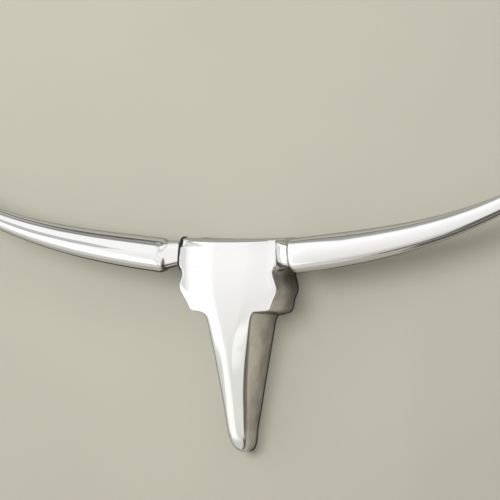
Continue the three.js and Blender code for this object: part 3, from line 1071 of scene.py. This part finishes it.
def screw_mesh(x, sides=48):
    """Rings of (place out from the wall, radius, whether it has six sides) about the screw's line."""
    face = SCREW_HEAD_FACE
    profile = [
        (SOCKET_BOTTOM, 0.4, False), (SOCKET_BOTTOM, SOCKET_HALF_WIDTH, True),
        (face - 0.2, SOCKET_HALF_WIDTH, True), (face, SOCKET_HALF_WIDTH + 0.25, True),
        (face, SCREW_HEAD_RADIUS - 0.3, False), (face - 0.2, SCREW_HEAD_RADIUS, False),
        (face - 0.4, SCREW_HEAD_RADIUS - 0.1, False), (SCREW_HEAD_BACK, SCREW_RADIUS, False),
        (SCREW_END + 0.6, SCREW_RADIUS, False), (SCREW_END, SCREW_RADIUS - 0.6, False),
    ]
    angles = np.linspace(0, 2 * math.pi, sides, endpoint=False)
    rings = []
    for out, radius, hexagonal in profile:
        reach = radius * six_sided(angles) if hexagonal else np.full(sides, radius)
        rings.append(np.column_stack([
            x + reach * np.cos(angles), np.full(sides, out), reach * np.sin(angles),
        ]))
    return np.concatenate(rings), capped(rings)


for name, side in SIDES:
    points, faces = screw_mesh(side * LUG_CENTRE)
    screw = piece_from(f"{name}_screw", points, faces, [zinc], crisp=30.0)
    finished(screw, f"{name}_strap_screw")


# Wall and floor
# The plain painted wall that it hangs on, with an opening behind the hollow head so that light
# reaches the back of it, a plain floor, and a dark sheet that paints the shadow in the narrow gap behind
# the casting's edge.

WALL_BEHIND = 3.0
SHADOW_BEHIND = 2.6
WALL_REACH = 5000.0
FLOOR_HEIGHT = -900.0


def front_only(g, paint):
    """The paint on the front of its sheet; from behind, the sheet is clear."""
    clear = g.out(g.node("ShaderNodeBsdfTransparent"), 0)
    from_behind = g.out(g.node("ShaderNodeNewGeometry"), "Backfacing")
    return g.out(g.node("ShaderNodeMixShader", {}, {0: from_behind, 1: paint, 2: clear}), 0)


def upright_sheet(name, loops, behind, material):
    """A flat sheet between loops of (x, z), this far behind the casting's back."""
    rings = [np.column_stack([loop[:, 0], np.full(len(loop), behind), loop[:, 1]]) for loop in loops]
    return piece_from(name, np.concatenate(rings), loft(rings), [material], sheet=True)


wall_paint, g = new_graph("wall_paint")
tone = g.noise(g.object_place(), 3.0, 2.0)
wall_colour = g.mixed(tone, (0.375, 0.362, 0.304, 1), (0.405, 0.391, 0.328, 1))
g.output(front_only(g, g.paint(Base_Color=wall_colour, Roughness=0.85)))

rim_line = outer[0][:, [0, 2]]
opening = rim_line * 0.965
opening[:, 1] -= 4.0
centre = np.array([0.0, -60.0])
spokes = opening - centre
spokes /= np.linalg.norm(spokes, axis=1)[:, None]
loops = [opening, centre + spokes * 700.0, centre + spokes * WALL_REACH]
upright_sheet("wall", loops, WALL_BEHIND, wall_paint)

# A dark sheet just in front of the wall: painted shadow in the gap behind the rim.
gap_shade, g = new_graph("gap_shade")
g.output(g.paint(Base_Color=(0.05, 0.047, 0.04, 1), Roughness=0.9))
away = np.vstack([OUTLINES[1][1], (OUTLINES[-1][1] * (-1, 1))[-2:0:-1]])
shadow_reach = 1.9 * smoothstep(12, -4, rim_line[:, 1])[:, None]
loops = [rim_line - away * 3.0, rim_line + away * (shadow_reach - 0.5)]
upright_sheet("gap", loops, SHADOW_BEHIND, gap_shade)

floor_paint, g = new_graph("floor_paint")
g.output(front_only(g, g.paint(Base_Color=(0.42, 0.41, 0.38, 1), Roughness=0.9)))
floor_corners = [(-4000, -5000), (4000, -5000), (4000, 3000), (-4000, 3000)]
floor_points = [(x, y, FLOOR_HEIGHT) for x, y in floor_corners]
floor = piece_from("floor", floor_points, [(0, 1, 2, 3)], [floor_paint], sheet=True)
floor.visible_glossy = False


# Sheets for the reflections
# A narrow grey card that stands in front of the left horn, and dark strips on the wall under and
# above the horns. The polish alone sees them, as a long faint streak and as dark edges.

# The camera looks from this far round to the right, in degrees.
VIEW_ANGLE = 22.0
CARD_DISTANCE = 450.0
STRIPS_BEHIND = 1.0


def shining(g, colour):
    return g.out(g.node("ShaderNodeEmission", {}, Color=colour, Strength=1.0), 0)


def sheet_from(name, lines, material, shades=None):
    marks = {"shade": shades} if shades else None
    points = np.concatenate(lines)
    return piece_from(name, points, loft(lines, closed=False), [material], marks=marks, sheet=True)


def left_card(material):
    """The card follows the horn: each of its edges has a height in degrees, as the camera sees it."""
    lines = [[], []]
    for along in np.linspace(85, 640, 60):
        taper = math.degrees(math.atan((horn_radius(along - 5) - horn_radius(along + 5)) / 10))
        aim = math.radians(2 * (HORN_FORWARD - taper) - VIEW_ANGLE)
        near_head = float(smoothstep(85, 190, along))
        lowest = 5.0 - 12.0 * near_head - 8.0 * float(smoothstep(230, 420, along))
        highest = 5.0 + 11.0 * near_head
        front = horn_place(along) * (-1, 1, 1) + (0, -horn_radius(along), 0)
        for line, height in zip(lines, (lowest, highest)):
            lift = math.tan(math.radians(height)) / math.cos(aim)
            line.append(front + CARD_DISTANCE * np.array([math.tan(aim), -1.0, lift]))
    return sheet_from("card", lines, material)


def under_horn(name, side, rows, first, last, material):
    """A strip along the horn's lower edge from (distance below it, darkness) rows."""
    lines = []
    shades = []
    for below, shade in rows:
        line = []
        for along in np.linspace(first, last, 50):
            x, _, z = horn_place(along)
            line.append((x * side, STRIPS_BEHIND, z - horn_radius(along) - below))
            shades.append(shade * float(smoothstep(first, first + 60, along)))
        lines.append(line)
    return sheet_from(name, lines, material, shades)


def above_left_horn(name, material):
    """The strip high on the wall that draws a dark line along the horn's top near the head."""
    lines = []
    shades = []
    for height, shade in ((520.0, 0), (700.0, 1), (WALL_REACH, 1)):
        line = []
        for x in np.linspace(-1500, 0, 40):
            line.append((x, STRIPS_BEHIND, height))
            shades.append(shade * float(smoothstep(-1400, -600, x) * smoothstep(-120, -330, x)))
        lines.append(line)
    return sheet_from(name, lines, material, shades)


card_grey, g = new_graph("card_grey")
g.output(shining(g, (0.62, 0.63, 0.63, 1)))

strip_dark, g = new_graph("strip_dark")
g.output(shining(g, g.mixed(g.mark("shade"), (0.38, 0.37, 0.32, 1), (0.11, 0.108, 0.095, 1))))

reflected = [
    left_card(card_grey),
    above_left_horn("high_strip", strip_dark),
    under_horn("left_strip", -1, [(-12, 1), (90, 1), (135, 0)], -40, 720, strip_dark),
    under_horn("right_strip", 1, [(-12, 1), (28, 1), (55, 0)], -10, 720, strip_dark),
    under_horn("right_low_strip", 1, [(130, 0), (190, 1), (1200, 1)], 185, 720, strip_dark),
]
for sheet in reflected:
    sheet.visible_camera = False
    sheet.visible_diffuse = False
    sheet.visible_shadow = False


# Light
# A large soft studio: white from the front and left, a grey ceiling, a pale floor and a dark
# corner low on the right. It is a smooth pattern over the directions of the world, with one soft
# lamp for the wall.

DEGREES_IN_RADIAN = 57.2958

world = bpy.data.worlds.new("studio")
bpy.context.scene.world = world
g = Graph(world)
direction = g.out(g.node("ShaderNodeTexCoord"), "Generated")
axes = g.node("ShaderNodeSeparateXYZ", {}, Vector=direction)
dx, dy, dz = (g.out(axes, axis) for axis in "XYZ")
turn = g.math("ARCTAN2", dx, dy * -1.0) * DEGREES_IN_RADIAN
rise = g.math("ARCSINE", dz) * DEGREES_IN_RADIAN

# From straight down to straight up: the height in degrees, how bright it is and how blue.
levels = [
    (-90, 0.5, 0.9), (-80, 0.56, 0.92), (-71, 0.64, 0.935), (-62, 0.84, 0.945), (-54, 0.97, 0.955),
    (-42, 1.02, 0.96), (-28, 1.06, 0.97), (-14, 1.1, 0.975), (0, 1.15, 0.98), (10, 1.19, 0.985),
    (48, 1.19, 1.0), (54, 0.47, 1.02), (60, 0.42, 1.0), (70, 0.34, 0.99), (90, 1.0, 1.0),
]
stops = []
for height, level, blue in levels:
    stops.append(((height + 90) / 180, (level, level * (1 + blue) / 2, level * blue, 1)))
light = g.out(g.node("ShaderNodeValToRGB", {"stops": stops}, Fac=(rise + 90.0) / 180.0), "Color")

right_of = turn.rising(-15.0, -3.0) * turn.rising(13.0, 7.0) * rise.rising(-20.0, -13.0)
left_of = turn.rising(-58.0, -66.0) * rise.rising(-50.0, -34.0) * rise.rising(40.0, 28.0)
window = turn.rising(-25.0, -33.0) * turn.rising(-66.0, -60.0)
window = window * rise.rising(-46.0, -28.0) * rise.rising(46.0, 36.0)
strip = turn.rising(-7.0, -2.0) * turn.rising(55.0, 30.0)
strip = strip * rise.rising(-26.5, -24.0) * rise.rising(-17.0, -20.0)
muzzle_side = turn.rising(-48.0, -56.0) * rise.rising(-4.0, -10.0)
low_left = turn.rising(-40.0, -62.0) * rise.rising(-34.0, -48.0)
low_window = turn.rising(-30.0, -36.0) * turn.rising(-58.0, -50.0)
low_window = low_window * rise.rising(-64.0, -52.0) * rise.rising(-20.0, -30.0)
edge_line = rise.hill(64.0, 5.0) * turn.hill(-36.0, 14.0) * 0.5
left_top = turn.rising(-46.0, -40.0) * turn.rising(-16.0, -24.0)
left_top = left_top * rise.rising(40.0, 46.0) * rise.rising(60.0, 56.0)
junction = dy.rising(-0.1, -0.06) * dz.rising(0.8, 0.88)
junction = junction * dx.rising(-0.39, -0.36) * dx.rising(-0.24, -0.27)
corner = dx - ((dy * -1.0).rising(0.2, 0.1) * -0.2 + 0.055)
dark = corner.rising(-0.04, 0.02) * dz.rising(-0.8, -0.89)
aside = turn.rising(52.0, 74.0)

patches = [
    (right_of, (0.9, 0.9, 0.89, 1)),
    (left_of, (0.92, 0.92, 0.9, 1)),
    (window, (1.5, 1.5, 1.48, 1)),
    (strip, (1.32, 1.31, 1.29, 1)),
    (muzzle_side, (0.92, 0.92, 0.9, 1)),
    (low_left, (0.76, 0.75, 0.72, 1)),
    (low_window, (1.5, 1.5, 1.48, 1)),
    (edge_line, (0.24, 0.245, 0.24, 1)),
    (left_top, (1.19, 1.19, 1.19, 1)),
    (junction, (0.1, 0.1, 0.095, 1)),
    (dark, (0.13, 0.125, 0.11, 1)),
    (aside, (0.2, 0.19, 0.17, 1)),
]
for patch, colour in patches:
    light = g.mixed(patch, light, colour)
background = g.node("ShaderNodeBackground", {}, Color=light, Strength=1.0)
g.node("ShaderNodeOutputWorld", {}, Surface=g.out(background, 0))

lamp_data = bpy.data.lights.new("soft_light", "AREA")
lamp_data.shape = "DISK"
lamp_data.size = 1.6
lamp_data.energy = 60.0
lamp = bpy.data.objects.new("soft_light", lamp_data)
lamp.location = (-0.6, -2.9, 0.6)
lamp_target = Vector((0.0, 0.0, -0.1))
lamp.rotation_euler = (lamp_target - Vector(lamp.location)).to_track_quat("-Z", "Y").to_euler()
lamp.visible_camera = False
lamp.visible_glossy = False
bpy.context.scene.collection.objects.link(lamp)


# Camera
# It looks level from the height of the brow, 3.8 m away and round to the right, through a long
# lens, so that the horns run out of the picture on both sides.

CAMERA_PLACE = (1.4261, -3.5223, 0.0)

camera_data = bpy.data.cameras.new("camera")
camera_data.sensor_width = 36.0
camera_data.lens = 144.0
camera_data.clip_end = 50.0
camera = bpy.data.objects.new("camera", camera_data)
camera.location = CAMERA_PLACE
camera.rotation_euler = (math.pi / 2, 0.0, math.radians(VIEW_ANGLE))
bpy.context.scene.collection.objects.link(camera)
bpy.context.scene.camera = camera
bpy.context.scene.view_settings.view_transform = "Standard"
